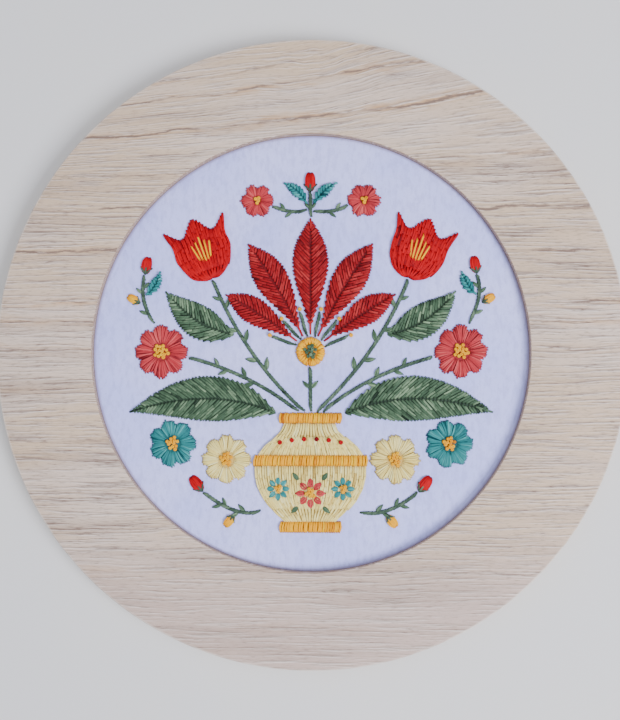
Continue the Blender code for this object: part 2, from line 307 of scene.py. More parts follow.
boardFinish = {
    "pale": asSeen(222, 198, 166),
    "warm": asSeen(216, 186, 144),
    "ochre": asSeen(204, 158, 102),
    "rosy": asSeen(206, 179, 152),
    "dark": asSeen(134, 110, 88),
    "edge": asSeen(216, 196, 162),
    "rimHighlight": asSeen(240, 228, 200),
    "cut": asSeen(172, 142, 112),
    "cutDark": asSeen(92, 66, 44),
    "back": asSeen(204, 190, 170),
    # Dark growth lines across the board's face: height, half width, strength
    "growthLines": ((-131, 0.8, 0.1), (-122, 0.8, 0.15), (-97, 0.9, 0.3), (-62, 0.7, 0.3), (-40, 0.8, 0.4),
                    (-17, 0.7, 0.4), (1, 0.7, 0.4), (13.2, 0.7, 0.5), (22, 0.8, 0.7), (45, 0.9, 0.85),
                    (64, 1.1, 0.95), (82, 0.7, 0.5), (104.5, 1.0, 0.95), (122, 0.9, 0.85), (131, 0.8, 0.5)),
    "waver": (((0.03, 0.02, 0), 2, 0.5, 7.0), ((0.16, 0.5, 0), 4, 0.6, 3.2)),    # a noise and its size
    "fade": ((0.03, 0.25, 0), 3),
    "fadeFrom": (0.38, 0.58, 0.25, 1),
    "halo": 4.2,              # reach of the warm tone beside a growth line
    "haloStrength": 1.1,
    "rise": 0.16,             # how steeply the top growth lines climb to the right
    "riseFrom": (60, 130),    # heights on the face, here and below
    "rosyFrom": (-70, -115),
    "warmFrom": (50, 120, 0, 0.2),
    "contrast": (66, 116, 1.05, 0.8),
    "whorl": (4, 122, 12),    # where the grain swirls, and how far round it
    "whorlReach": 42,
    "swirl": 6.0,
    "eddy": ((0.05, 0.06, 0), 2),
    "rimHighlightReach": (138.9, 139.9),   # radius where the outer edge takes a painted highlight
    "rimHighlightPatches": ((0.12, 0.12, 0.12), 2),
    "rimHighlightPatchesFrom": (0.4, 0.6, 0.2, 0.7),
    "cornerShade": 2.2,             # how far the painted shade reaches up the window's wall from the cloth
    "sawn": (1, 2.2, 4.5),    # how much finer the grain is on the sides: along, across and upwards
}


def growthLines(level, place):
    # Thin brown lines that fade in and out as they cross the face, and the warm tone beside them
    for waves, detail, roughness, size in boardFinish["waver"]:
        level = plus(level, times(minus(noise(place, waves, detail, roughness), 0.5), size))
    total = halo = 0.0
    for height, halfWidth, strength in boardFinish["growthLines"]:
        away = calc("ABSOLUTE", minus(level, height))
        total = plus(total, spread(away, halfWidth, 0, 0, strength))
        halo = plus(halo, spread(away, boardFinish["halo"], 0, 0, strength * boardFinish["haloStrength"]))
    patches = spread(noise(place, *boardFinish["fade"]), *boardFinish["fadeFrom"])
    return times(total, patches), times(halo, patches, clamp=True)


def makeBoardFace():
    made, shader = newMaterial("board face")
    place = inMillimetres()
    x, y = axes(place)[:2]
    climb = times(times(spread(y, *boardFinish["riseFrom"]), -boardFinish["rise"]), x)
    lines, halo = growthLines(plus(y, climb), place)
    away = farFrom(place, boardFinish["whorl"])
    swirl = spread(away, boardFinish["whorlReach"], 0, 0, boardFinish["swirl"])
    low = spread(y, *boardFinish["rosyFrom"])
    pale = mixColour(spread(y, *boardFinish["warmFrom"]), boardFinish["pale"], boardFinish["warm"])
    pale = mixColour(low, pale, boardFinish["rosy"])
    rimHighlightPatches = spread(noise(place, *boardFinish["rimHighlightPatches"]), *boardFinish["rimHighlightPatchesFrom"])
    radius = farFrom(stretch(place, (1, 1, 0)), (0, 0, 0))
    given = {
        "Place": movedBy(place, plus(climb, times(swirl, noise(place, *boardFinish["eddy"])))),
        "Pale": mixColour(halo, pale, boardFinish["ochre"]),
        "Warm": mixColour(low, boardFinish["warm"], boardFinish["rosy"]),
        "Dark": boardFinish["dark"],
        "Lines": lines,
        "Contrast": spread(calc("ABSOLUTE", y), *boardFinish["contrast"]),
    }
    # Painted highlight along the board's outer edge, broken into patches
    rimHighlight = times(spread(radius, *boardFinish["rimHighlightReach"]), rimHighlightPatches)
    paintWood(shader, given, (0.15, 0.5), 0.35, rimHighlight, boardFinish["rimHighlight"])
    return made


def makeCutWood(name, pale, dark, contrast, cornerShade=0.0):
    # The sawn sides, where the grain is cut through and darkened, with painted shade at the foot of the
    # window's wall
    made, shader = newMaterial(name)
    place = inMillimetres()
    # Painted shade low on the wall, fading upwards from the cloth
    low = spread(axes(place)["Z"], clothTop, clothTop + boardFinish["cornerShade"], cornerShade, 0)
    given = {"Place": stretch(place, boardFinish["sawn"]), "Pale": pale, "Warm": pale, "Dark": dark,
             "Contrast": contrast}
    paintWood(shader, given, (0.2, 0.6), 0.25, low, dark)
    return made


# Turned pieces: an outline of (radius, height, finish) points spun round, in millimetres

def quarterRound(radius, height, rounding, across, down, finish=0):
    # The arc that rounds a corner, from its side round to its top or underside.
    # across and down are 1 or -1, the ways from the corner into the piece
    return [(radius + across * rounding * (1 - cos(turn)),
             height + down * rounding * (1 - sin(turn)), finish)
            for turn in np.linspace(0, pi / 2, 5)]


def spin(name, outline, finishes, steps):
    corners = np.array([(radius, height) for radius, height, finish in outline])
    index = np.arange(len(corners) * steps).reshape(-1, steps)
    faces = gridFaces(np.concatenate([index, index[:1]]))
    data = meshOf(name, ringsOf(corners, steps), faces.reshape(-1, 4).tolist())
    across = lengthsAlong(np.concatenate([corners, corners[:1]]))
    along = np.arange(steps + 1) * tau / steps * corners[:, 0].mean()
    uv = cornerValues(across, along)[..., ::-1]
    data.uv_layers.new(name="turned").data.foreach_set("uv", uv.ravel())
    for finish in finishes:
        data.materials.append(finish)
    picked = [finish for radius, height, finish in outline]
    data.polygons.foreach_set("material_index", np.repeat(picked, steps))
    data.set_sharp_from_angle(angle=radians(40))
    return addObject(data)


boardSize = {
    "windowRadius": 97.25,
    "lip": 4.0,
    "rebateRadius": 104.0,
    "rounding": 0.7,
    "windowRounding": 0.35,
    "underRounding": 0.4,
    "rebateChamfer": 0.3,
    "steps": 320,
}


def makeBoard():
    radius = boardHigh.x / mm
    top = boardHigh.z / mm
    window = boardSize["windowRadius"]
    under = top - boardSize["lip"]
    rebate = boardSize["rebateRadius"]
    turned = boardSize["underRounding"]
    chamfer = boardSize["rebateChamfer"]
    face, side, cut, back = range(4)
    outline = [(radius - turned, 0, side), (radius, turned, side)]
    outline += quarterRound(radius, top, boardSize["rounding"], -1, -1, face)
    outline += quarterRound(window, top, boardSize["windowRounding"], 1, -1, cut)[::-1]
    outline += [(window, under, back), (rebate, under, cut), (rebate, chamfer, cut),
                (rebate + chamfer, 0, back)]
    finishes = [
        makeBoardFace(),
        makeCutWood("board side", boardFinish["edge"], boardFinish["dark"], 0.55),
        makeCutWood("board cut", boardFinish["cut"], boardFinish["cutDark"], 0.5, 0.8),
        makeCutWood("board back", boardFinish["back"], boardFinish["dark"], 0.9),
    ]
    board = spin("turnedBoard", outline, finishes, boardSize["steps"])
    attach(board, "root")
    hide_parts("frame_board")


hoopShape = {
    "width": 8.0,
    "rounding": 0.8,
    "steps": 240,
    "pale": asSeen(222, 202, 168),
    "warm": asSeen(208, 182, 142),
    "dark": asSeen(142, 106, 70),
}


def makeHoop():
    outer = hoopHigh.x / mm
    inner = outer - hoopShape["width"]
    low, high = hoopLow.z / mm, hoopHigh.z / mm
    rounding = hoopShape["rounding"]
    outline = quarterRound(outer, low, rounding, -1, 1)[::-1]
    outline += quarterRound(outer, high, rounding, -1, -1)
    outline += quarterRound(inner, high, rounding, 1, -1)[::-1]
    outline += quarterRound(inner, low, rounding, 1, 1)
    made, shader = newMaterial("hoop wood")
    given = {"Place": addNode("UVMap", uv_map="turned").outputs[0], "Pale": hoopShape["pale"],
             "Warm": hoopShape["warm"], "Dark": hoopShape["dark"], "Contrast": 1}
    paintWood(shader, given, (0.15, 0.5), 0.5)
    hoop = spin("bentHoop", outline, [made], hoopShape["steps"])
    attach(hoop, "root")
    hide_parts("inner_hoop")


makeBoard()
makeHoop()
print("board and hoop turned")


# Floss: the cotton thread of every stitch

flossLook = {
    "filaments": ((0.5, 9.0, 1), 4, 0.65),
    "slow": ((0.11, 0.11, 0.11), 2),
    "tint": 0.3,              # how much lighter or darker single stitches are
    "slowLight": (0.3, 0.7, 0.4, 0.7),
    "filamentLight": (0.3, 0.7, -0.22, 0.22),
    "lightFrom": (0.5, 1.1),
    "deepFrom": (0.42, -0.1),
    "stitchShadeStrength": 0.75,
    "roughness": (0.25, 0.75, 0.42, 0.62),
    "relief": (0.06, 0.7),
    "shader": {"Specular IOR Level": 0.17, "Sheen Weight": 0.03, "Sheen Roughness": 0.4},
}

# Each thread's light, middle and deep tone; the deep tone is also the painted shade of the stitches
threads = {
    "thread_bright_red": ((218, 4, 16), (194, 0, 12), (104, 0, 6)),
    "thread_brick_red": ((204, 62, 54), (164, 24, 26), (84, 6, 8)),
    "thread_sage": ((148, 174, 126), (80, 107, 73), (16, 30, 16)),
    "thread_dark_sage": ((110, 132, 96), (68, 90, 66), (26, 40, 26)),
    "thread_cream": ((255, 246, 170), (250, 229, 128), (190, 152, 66)),
    "thread_gold": ((255, 208, 22), (255, 182, 0), (196, 108, 0)),
    "thread_coral": ((230, 100, 90), (202, 62, 62), (116, 20, 24)),
    "thread_teal": ((102, 186, 170), (52, 140, 130), (10, 64, 64)),
}


def makeFlossGroup():
    group, given, made = newGroup("cotton floss", {"Light": "Color", "Middle": "Color", "Deep": "Color"})
    tint, stitchShade = [addNode("Attribute", attribute_name=name).outputs["Fac"] for name in ("tint", "stitchShade")]
    filaments = noise(addNode("UVMap", uv_map="floss").outputs[0], *flossLook["filaments"])
    slow = noise(inMillimetres(), *flossLook["slow"])
    lit = plus(times(tint, flossLook["tint"]), spread(slow, *flossLook["slowLight"]))
    lit = plus(lit, spread(filaments, *flossLook["filamentLight"]))
    body = mixColour(spread(lit, *flossLook["lightFrom"]), given["Middle"], given["Light"])
    body = mixColour(spread(lit, *flossLook["deepFrom"]), body, given["Deep"])
    # Painted shade at the ends and sides of stitches, and on the pads, draws the colour to the deep tone
    body = mixColour(times(stitchShade, flossLook["stitchShadeStrength"]), body, given["Deep"])
    fill(made, {"Color": body, "Roughness": spread(filaments, *flossLook["roughness"]), "Height": filaments})
    return group


flossGroup = makeFlossGroup()


def makeFloss(name, tones):
    made, shader = newMaterial(name)
    given = {label: asSeen(*tone) for label, tone in zip(("Light", "Middle", "Deep"), tones)}
    floss = addNode("Group", given, node_tree=flossGroup).outputs
    paint(shader, floss["Color"], floss["Roughness"], floss["Height"], flossLook["relief"],
          flossLook["shader"])
    return made


flossOf = {name: makeFloss(name.replace("thread_", "floss "), tones) for name, tones in threads.items()}
print("floss dyed in", len(flossOf), "colours")


# Stitches: each has its path, its width along the path and how light it is

stitchShape = {
    "strands": 2,             # strands side by side in each stitch
    "width": 0.98,            # of a whole stitch
    "stations": 7,
    "sides": 5,
    "length": 4.6,            # of a stitch inside a filling
    "stagger": 0.25,          # how far the stitches of a row are shifted against the next row
    "sway": 0.16,
    "overlap": 0.35,
    "shoulder": 2.2,          # how far in from its edge a filling reaches its full height
    "lift": 0.92,
    "arch": 0.12,
    "edgeDepth": 0.8,         # how far a stitch's end goes into the cloth at a filling's edge
    "tuckDepth": 0.34,        # how far it goes under its neighbours elsewhere
    "ragged": 0.3,
    "bow": 0.12,              # how far a stitch strays from straight
    "loose": 0.07,            # how far it stands above or below its neighbours
    "edgeShade": 0.58,        # painted shade on the two sides of a stitch
    "startWidth": 1.0,        # of a stitch's first end, as a share of its width
    # The pad under a filling is painted dark, as shade between its stitches
    "padTint": -0.4,
    "padTuck": 0.9,
    "backReach": (1.2, 27),   # shortest and longest thread on the cloth's back
}
outlines = []                 # of every filling, for the cloth's puckers
alongStitch = np.linspace(0, 1, stitchShape["stations"])
arc = np.sin(alongStitch * pi)


def between(start, end):
    return start + (end - start) * alongStitch[:, None]


def stitch(flat, height, wide, tint):
    return np.column_stack([flat, clothTop + height]), np.zeros(len(flat)) + wide, tint


def crownOf(flat, outline, look):
    inside = np.clip(insideBy(flat, outline) / look["shoulder"], 0, 1)
    return look["lift"] * np.sqrt(1 - (1 - inside) ** 2)


def sewLine(line, outline, rank, look):
    # One row of stitches along a line, over a filling that is crowned away from its outline
    total = lengthsAlong(line)[-1]
    if total < 0.5:
        return []
    count = max(1, round(total / look["length"]))
    stagger = look["stagger"] if rank % 2 else -look["stagger"]
    sways = chance.uniform(-look["sway"], look["sway"], count - 1)
    cuts = (np.arange(1, count) + (stagger + sways)) / count * total
    cuts = [0.0, *cuts, total]
    rowTint = chance.normal(0, 0.2)
    share = (alongStitch + 0.5 - 0.5 * np.cos(alongStitch * pi)) / 2
    bulge = np.sin(share * pi)
    sunk = np.zeros(len(share))
    sunk[[0, -1]] = 1
    sunk[[1, -2]] = 0.25
    stitches = []
    for index, (start, end) in enumerate(zip(cuts, cuts[1:])):
        first = index == 0
        last = index == count - 1
        start -= 0 if first else look["overlap"]
        end += chance.uniform(-0.2, 1) * look["ragged"] if last else look["overlap"]
        flat = pointsAlong(line, start + (end - start) * share)
        if end > total:
            flat[-1] += unit(line[-1] - line[-2]) * (end - total)
        bow = chance.normal(0, look["bow"]) * min(1, (end - start) / 4)
        flat = flat + leftOf(unit(flat[-1] - flat[0])) * (bow * bulge)[:, None]
        height = crownOf(flat, outline, look) + (look["arch"] + chance.normal(0, look["loose"])) * bulge
        depths = [look["edgeDepth"] if atEdge else look["tuckDepth"] for atEdge in (first, last)]
        height = np.maximum(height - np.where(share < 0.5, *depths) * sunk, -0.15)
        wide = (look["startWidth"] + (1 - look["startWidth"]) * share) * look["width"]
        stitches.append(stitch(flat, 0.05 + height, wide * chance.uniform(0.92, 1.08),
                               rowTint + chance.normal(0, 0.6)))
    return stitches


def tubes(stitches, strands):
    # Every strand of every stitch as a tube: points, sides and ends, tints, painted shade and places in uv
    paths, widths, tints = [np.array(values) for values in zip(*stitches)]
    count, stations = paths.shape[:2]
    sides = stitchShape["sides"]
    forward = unit(np.gradient(paths, axis=1))
    sideways = unit(np.cross((0, 0, 1), forward))
    upward = np.cross(forward, sideways)
    share = np.linspace(0, 1, stations)
    twist = chance.uniform(-0.5, 0.5, (count, 1)) + chance.uniform(0.3, 0.9, (count, 1)) * (share - 0.5)
    taper = 1 - 0.35 * np.abs(2 * share - 1) ** 4
    around = np.arange(sides) * tau / sides + 0.3
    radius = widths / strands * (0.54 if strands > 1 else 0.5)
    offset = (np.arange(strands) - (strands - 1) / 2)[:, None] * widths[:, None] / strands * 0.96
    turned = sideways * np.cos(twist)[..., None] + upward * np.sin(twist)[..., None] * 0.6
    centre = paths[:, None] + turned[:, None] * offset[..., None]
    ring = sideways[:, :, None] * np.cos(around)[:, None] + upward[:, :, None] * np.sin(around)[:, None]
    points = centre[:, :, :, None] + (ring * (radius * taper)[..., None, None])[:, None]
    across = ((points - paths[:, None, :, None]) * sideways[:, None, :, None]).sum(-1)
    lateral = np.abs(across) / (widths[:, None, :, None] / 2)
    tint = tints[:, None, None, None] + chance.normal(0, 0.2, (count, strands, 1, 1)) + lateral * 0
    # Painted shade at both ends of the stitch and along its two sides
    stitchShade = np.maximum(np.abs(2 * share - 1)[:, None] ** 6,
                      stitchShape["edgeShade"] * np.clip((lateral - 0.45) / 0.5, 0, 1))
    reach = chance.uniform(0, 400, (count, strands, 1)) + lengthsAlong(paths)[:, None]
    reach = reach.reshape(-1, stations)
    endReach = np.concatenate([reach[:, 0], reach[:, -1]]).repeat(sides)
    index = np.arange(tint.size).reshape(-1, stations, sides)
    uv = [cornerValues(reach, np.arange(sides + 1) / sides).reshape(-1, 2),
          np.column_stack([endReach, endReach * 0])]
    faces = [gridFaces(index).reshape(-1, 4), np.concatenate([index[:, 0, ::-1], index[:, -1]])]
    return points.reshape(-1, 3), faces, tint.ravel(), stitchShade.ravel(), np.concatenate(uv)


def threadMesh(name, parts):
    # One mesh of tubes and pads
    faces = []
    base = 0
    for points, groups, *rest in parts:
        for group in groups:
            faces += (group + base).tolist()
        base += len(points)
    points, groups, tint, stitchShade, uv = zip(*parts)
    data = meshOf(name, np.concatenate(points), faces)
    data.uv_layers.new(name="floss").data.foreach_set("uv", np.concatenate(uv).ravel())
    for label, values in (("tint", tint), ("stitchShade", stitchShade)):
        values = np.concatenate(values).astype(np.float32)
        data.attributes.new(label, "FLOAT", "POINT").data.foreach_set("value", values)
    return data


def padOver(flat, outline, look, closed):
    # A low pad of the same thread under a filling, painted dark as shade, so that no cloth shows between its
    # stitches.
    # It is laid over rows of points, whose first and last (and, on a strip, whose ends) meet the cloth
    count, places = flat.shape[:2]
    height = np.maximum(crownOf(flat.reshape(-1, 2), outline, look).reshape(count, places) - 0.4, 0.02)
    height[0] = -0.2
    if not closed:
        height[-1] = height[:, 0] = height[:, -1] = -0.2
        height[:, places // 2] -= 0.25
    points = np.concatenate([flat, clothTop + height[..., None]], axis=-1).reshape(-1, 3)
    faces = gridFaces(np.arange(count * places).reshape(count, places), closed).reshape(-1, 4)
    tint, stitchShade = [np.full(len(points), stitchShape[label]) for label in ("padTint", "padTuck")]
    return points, [faces], tint, stitchShade, points[faces][..., :2].reshape(-1, 2)


def stripPad(spine, normal, half, outline, look):
    narrowed = np.maximum(half - 0.4, 0.02)
    shares = np.array([-1, -0.96, -0.75, -0.4, 0, 0.4, 0.75, 0.96, 1])
    flat = spine[:, None] + normal[:, None] * (narrowed[:, None] * shares)[..., None]
    return padOver(flat, outline, look, False)


def crownPad(centre, outline, look):
    reach = np.linalg.norm(outline - centre, axis=1).mean()
    shares = np.array([1 - 0.45 / reach, 1 - 0.6 / reach, 0.82, 0.6, 0.35, 0.03])
    flat = centre + (outline - centre)[None] * shares[:, None, None]
    return padOver(flat, outline, look, True)


def returnStitches(stitches):
    # On the back of the cloth the thread goes from the end of each stitch to the start of the next
    made = []
    shortest, longest = stitchShape["backReach"]
    for (path, wide, tint), following in zip(stitches, stitches[1:]):
        start, end = path[-1, :2], following[0][0, :2]
        if shortest <= np.linalg.norm(end - start) <= longest:
            flat = start + (end - start) * np.linspace(0, 1, 4)[:, None]
            sag = np.array([0.1, -0.3, -0.3, 0.1]) + chance.uniform(-0.08, 0.08)
            made.append(stitch(flat, sag - clothThickness, wide[0], tint))
    return made


def sew(name, stitches, slot=None, pad=None, strands=stitchShape["strands"], back=True):
    # Stitches without a slot of their own stand for the node of that name
    node = None if slot else name
    behind = returnStitches(stitches) if back else []
    parts = [tubes(batch, count) for batch, count in ((stitches, strands), (behind, 1)) if batch]
    if pad:
        parts.append(pad)
    data = threadMesh(name + "_sewn" if node else name, parts)
    slot = slot or slotOf[node]
    data.materials.append(flossOf[slot])
    piece = addObject(data)
    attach(piece, "root")
    if node:
        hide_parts(node)


def sewFilling(node, rows, outline, look, centre=None, strip=None):
    stitches = []
    for line, rank in rows:
        stitches += sewLine(line, outline, rank, look)
    pad = stripPad(*strip, outline, look) if strip else crownPad(centre, outline, look)
    sew(node, stitches, pad=pad)
    outlines.append(outline)


def bothSides(motifs):
    # The node of each motif, 1 or -1 for the left or right one, and what the motif is made from
    for name, motif in motifs.items():
        nodes = [(name, 1)] if name in slotOf else [(name + "_left", 1), (name + "_right", -1)]
        for node, sign in nodes:
            yield node, sign, motif


def turnedTo(point, sign):
    return np.array([point[0] * sign, point[1]], float)


def acrossOf(count):
    # Each of a count of rows, with its place from -1 to 1
    return [(row, (row + 0.5) / count * 2 - 1) for row in range(count)]


# Leaves and the bloom's petals: slanted stitches either side of a vein

# Root, bend, tip, width, and where along it is widest
leaves = {
    "leaf_long": ((-15.5, -27.5), (-44, -14.5), (-81, -27), 20, 0.45),
    "leaf_upper": ((-34.4, 8.2), (-50, 9), (-65, 27), 15, 0.45),
    "leaf_top": ((-1.6, 66.5), (-5, 73), (-12, 76), 5, 0.5),
    "leaf_side": ((-74, 25.5), (-69.5, 28.5), (-67.5, 36), 4.6, 0.5),
}
leafShape = {"slant": 42, "pitch": 1.06}
shortestRow = 1.1

# Angle, length, width, and by how much the tip is turned on
petals = {
    "petal_middle": (90, 60, 16, 0),
    "petal_inner": (116, 56, 15, 4),
    "petal_outer": (142, 46, 12, 4),
}
petalShape = {"root": 7.6, "belly": 0.62, "bendAt": 0.6, "slant": 44, "pitch": 1.1}


def fishbone(ends, width, belly, slant, pitch):
    # Lines from the vein out to both edges of a leaf, its outline, and the strip for its pad
    spine = bentLine(*ends, 120)
    total = lengthsAlong(spine)[-1]
    share = lengthsAlong(spine) / total
    half = width / 2 * np.sin(pi * share ** (log(0.5) / log(belly)))
    normal = leftOf(unit(np.gradient(spine, axis=0)))
    origin = np.maximum.accumulate(share - half / tan(radians(slant)) / total)
    veinStep = pitch / sin(radians(slant)) / total
    rows = []
    for sign in (1, -1):
        edge = spine + normal * half[:, None] * sign
        edgeReach = lengthsAlong(edge)
        fan = np.arange(pitch * 1.5, np.interp(0.0, origin, edgeReach), pitch)
        starts = np.arange(0, 0.985, veinStep) + chance.uniform(0, veinStep / 2)
        edgeAt = np.concatenate([fan, np.interp(starts, origin, edgeReach)])
        veinAt = np.concatenate([np.zeros(len(fan)), starts])
        for place, (onEdge, onVein) in enumerate(zip(edgeAt, veinAt)):
            outer = pointsAlong(edge, onEdge + chance.normal(0, 0.12))
            side = readAt(onVein, share, normal) * sign
            inner = pointsAlong(spine, min(onVein, 1) * total) + side * chance.uniform(0.1, 0.4)
            far = np.linalg.norm(outer - inner)
            if far >= shortestRow:
                rows.append((bentLine(inner, (inner + outer) / 2 + side * 0.04 * far, outer, 8), place))
    wide = np.flatnonzero(half > 0.75)
    rows += [(spine[[-14, -1]], 0), (spine[[0, min(wide[0] + 4, 30)]], 0)]
    outline = np.concatenate([spine + normal * half[:, None], (spine - normal * half[:, None])[-2:0:-1]])
    picked = np.flatnonzero(half > 0.7)[::4]
    return rows, outline[::2], (spine[picked], normal[picked], half[picked])


def sewLeaf(node, ends, width, belly, shape):
    rows, outline, strip = fishbone(ends, width, belly, shape["slant"], shape["pitch"])
    look = dict(stitchShape, shoulder=min(stitchShape["shoulder"], width * 0.22))
    sewFilling(node, rows, outline, look, strip=strip)


for node, sign, (*ends, width, belly) in bothSides(leaves):
    sewLeaf(node, [turnedTo(end, sign) for end in ends], width, belly, leafShape)

for node, sign, (angle, length, width, bend) in bothSides(petals):
    turn = radians(angle)
    ends = [(petalShape["root"], turn), (length * petalShape["bendAt"], turn),
            (length, turn + radians(bend))]
    ends = [turnedTo(towards(turn) * reach, sign) for reach, turn in ends]
    sewLeaf(node, ends, width, petalShape["belly"], petalShape)
print("leaves and petals sewn")


# Stems: short stitches that overlap along a line

# Root, bend and tip
stems = {
    "stem_bloom": ((0, -26.8), (0, -18), (0, -7)),
    "stem_tulip": ((-2.7, -26.8), (-30, -2), (-43.8, 32.2)),
    "stem_coral": ((-5.4, -26.8), (-26, -10), (-54.4, -2.6)),
    "stem_top": ((0, 60.6), (0, 66), (0, 72)),
    "stem_small": ((-1.4, 63.6), (-9, 61.6), (-16.9, 65.6)),
    "stem_side": ((-70.4, 12.6), (-77.5, 24), (-74.5, 34.4)),
    "stem_low": ((-22, -71), (-33, -74.5), (-47.6, -62.6)),
}
stemShape = {"width": 1.15, "length": 4.2, "step": 1.5, "lean": 0.5, "height": 0.55, "shortest": 1.2}


def stemStitches(line):
    reach = lengthsAlong(line)
    normal = leftOf(unit(np.gradient(line, axis=0)))
    stitches = []
    start = 0.0
    while start < reach[-1] - stemShape["shortest"]:
        end = min(start + stemShape["length"], reach[-1])
        places = start + (end - start) * alongStitch
        side = readAt(places, reach, normal) * ((alongStitch - 0.5) * 2 * stemShape["lean"])[:, None]
        height = stemShape["height"] * arc ** 0.5 - 0.1 + 0.06 * chance.uniform(-1, 1)
        stitches.append(stitch(pointsAlong(line, places) + side, 0.08 + height,
                               stemShape["width"] * chance.uniform(0.93, 1.07), chance.normal(0.2, 0.7)))
        start += stemShape["step"] * chance.uniform(0.9, 1.1)
    return stitches


stemLines = {}
for node, sign, ends in bothSides(stems):
    stemLines[node] = bentLine(*[turnedTo(end, sign) for end in ends], 40)
    sew(node, stemStitches(stemLines[node]))
print("stems sewn")


# Round flowers: fans of stitches round a cluster of knots

# Centre, radius, count of lobes, and radius of the knots
flowers = {
    "flower_coral": ((-67, 0), 12, 8, 3.9),
    "flower_cream": ((-37.6, -48), 11, 8, 3.5),
    "flower_teal": ((-61.6, -41), 10.6, 7, 3.5),
    "flower_small": ((-24, 68), 7.5, 6, 1.8),
}
flowerShape = {
    "notch": 0.17,
    "sharpness": 5,
    "pitch": 1.08,
    "stitch": {"length": 20, "shoulder": 1.1, "lift": 0.75, "loose": 0.1, "startWidth": 0.5},
}
knotShape = {"turns": 2.25, "radius": 0.58, "thread": 0.7, "height": 0.85, "stations": 25, "spacing": 1.85}


def flowerEdge(radius, lobes, turn):
    notch = np.abs(np.sin(lobes * turn / 2)) ** flowerShape["sharpness"]
    return radius * (1 - flowerShape["notch"] * notch)


def petalFans(centre, radius, lobes, knots):
    rows = []
    petalTurn = tau / lobes
    perPetal = round(petalTurn * radius * 0.97 / flowerShape["pitch"])
    for petal in range(lobes):
        for place in range(perPetal):
            across = (place + 0.5) / perPetal - 0.5
            turn = petal * petalTurn + across * petalTurn * 0.95 + chance.uniform(-0.012, 0.012)
            outer = flowerEdge(radius, lobes, turn) + chance.uniform(-0.45, 0.35)
            inner = knots - 0.5 + (chance.uniform(0.2, 1.2) if place % 2 else 0)
            start = centre + inner * towards(petal * petalTurn + across * petalTurn * 0.9)
            rows.append((np.array([start, centre + outer * towards(turn)]), len(rows)))
    return rows


def coilKnot(place, lift, size):
    share = np.linspace(0, 1, knotShape["stations"])
    turn = share * knotShape["turns"] * tau + chance.uniform(0, tau)
    reach = knotShape["radius"] * size * (1 - 0.35 * share) * np.where(share > 0.93, 0.4, 1)
    height = lift + knotShape["height"] * size * np.sin(share * pi * 0.62)
    return stitch(place + reach[:, None] * towards(turn), height, knotShape["thread"] * size,
                  chance.normal(0, 0.5))


def sewKnots(name, centre, radius, slot=None, lift=0.15):
    count = max(3, round((radius / knotShape["spacing"]) ** 2 * 3.3))
    knots = []
    for index in range(count):
        reach = (radius - 0.6) * sqrt((index + 0.4) / count)
        place = centre + reach * towards(index * 2.39996) + chance.uniform(-0.12, 0.12, 2)
        rise = lift + 0.25 * (1 - (reach / radius) ** 2)
        knots.append(coilKnot(place, rise, chance.uniform(0.92, 1.12)))
    sew(name, knots, slot, strands=1, back=False)


for node, sign, (centre, radius, lobes, knots) in bothSides(flowers):
    centre = turnedTo(centre, sign)
    turns = np.linspace(0, tau, 112, endpoint=False)
    outline = centre + towards(turns) * flowerEdge(radius, lobes, turns)[:, None]
    look = dict(stitchShape, **flowerShape["stitch"])
    sewFilling(node, petalFans(centre, radius, lobes, knots), outline, look, centre)
    if node.replace("flower", "knots") in slotOf:
        sewKnots(node.replace("flower", "knots"), centre, knots)
    else:
        sewKnots(node + "_knots", centre, knots + 0.3, "thread_gold", 0.5)
print("flowers and knots sewn")


# The bloom's heart: short stitches in a ring, and knots inside it

heart = {"radius": 6.6, "knots": 3.5, "pitch": 1.05, "stitch": {"length": 20, "shoulder": 1.6, "arch": 0.16}}


centre = np.zeros(2)
count = round(tau * heart["radius"] * 0.96 / heart["pitch"])
rows = []
for place in range(count):
    direction = towards((place + chance.uniform(-0.15, 0.15)) / count * tau)
    inner = heart["knots"] - 0.4 + (0.9 if place % 2 else 0)
    rows.append((np.array([direction * inner, direction * (heart["radius"] - 0.15)]), place))
look = dict(stitchShape, **heart["stitch"])
sewFilling("bloom_heart", rows, unitCircle(48) * heart["radius"], look, centre)
sewKnots("bloom_heart_knots", centre, heart["knots"], "thread_sage", 0.35)


# Buds: satin stitches from base to tip, held by short sepals

# Centre, length, width and heading
buds = {
    "bud_top": ((0, 76.6), 8.5, 5.5, 90),
    "bud_side": ((-73.6, 39), 7.5, 5, 80),
    "bud_side_low": ((-79.6, 23.6), 6, 4.2, 150),
    "bud_low": ((-50.8, -58.8), 8, 5.2, 128),
    "bud_low_inner": ((-36.2, -75.4), 6, 4.2, 230),
}
sepals = ((-0.75, 0.52), (0.75, 0.52), (0, 0.4))      # lean from the bud's line, share of its length


for node, sign, (centre, length, width, heading) in bothSides(buds):
    centre = turnedTo(centre, sign)
    forward = towards(radians(heading if sign > 0 else 180 - heading))
    side = leftOf(forward)
    long, wide = length / 2, width / 2
    places = np.linspace(-0.97, 0.97, 12)
    bulge = np.sqrt(1 - places ** 2) * 0.92 + 0.04
    rows = []
    for column, across in acrossOf(round(width / 0.85)):
        line = centre + forward * (places * long)[:, None] + side * (across * bulge * wide)[:, None]
        rows.append((line, column))
    oval = unitCircle(40) * (long, wide)
    outline = centre + forward * oval[:, :1] + side * oval[:, 1:]
    look = dict(stitchShape, length=20, shoulder=wide * 0.8, arch=0.1, ragged=0.1)
    sewFilling(node, rows, outline, look, centre)
    base = centre - forward * long
    stitches = []
    for lean, reach in sepals:
        tip = base + (forward * cos(lean) + side * sin(lean)) * length * reach
        flat = between(base - forward * 0.4, tip)
        height = 0.25 + crownOf(flat, outline, look) + 0.15 * arc
        height[0] = -0.05
        height[-1] -= 0.3
        stitches.append(stitch(flat, height, 0.85, chance.normal(0, 0.6)))
    sew(node + "_sepals", stitches, "thread_dark_sage", back=False)
print("heart and buds sewn")


# Tulips: stitches that rise from the base and follow the two sides

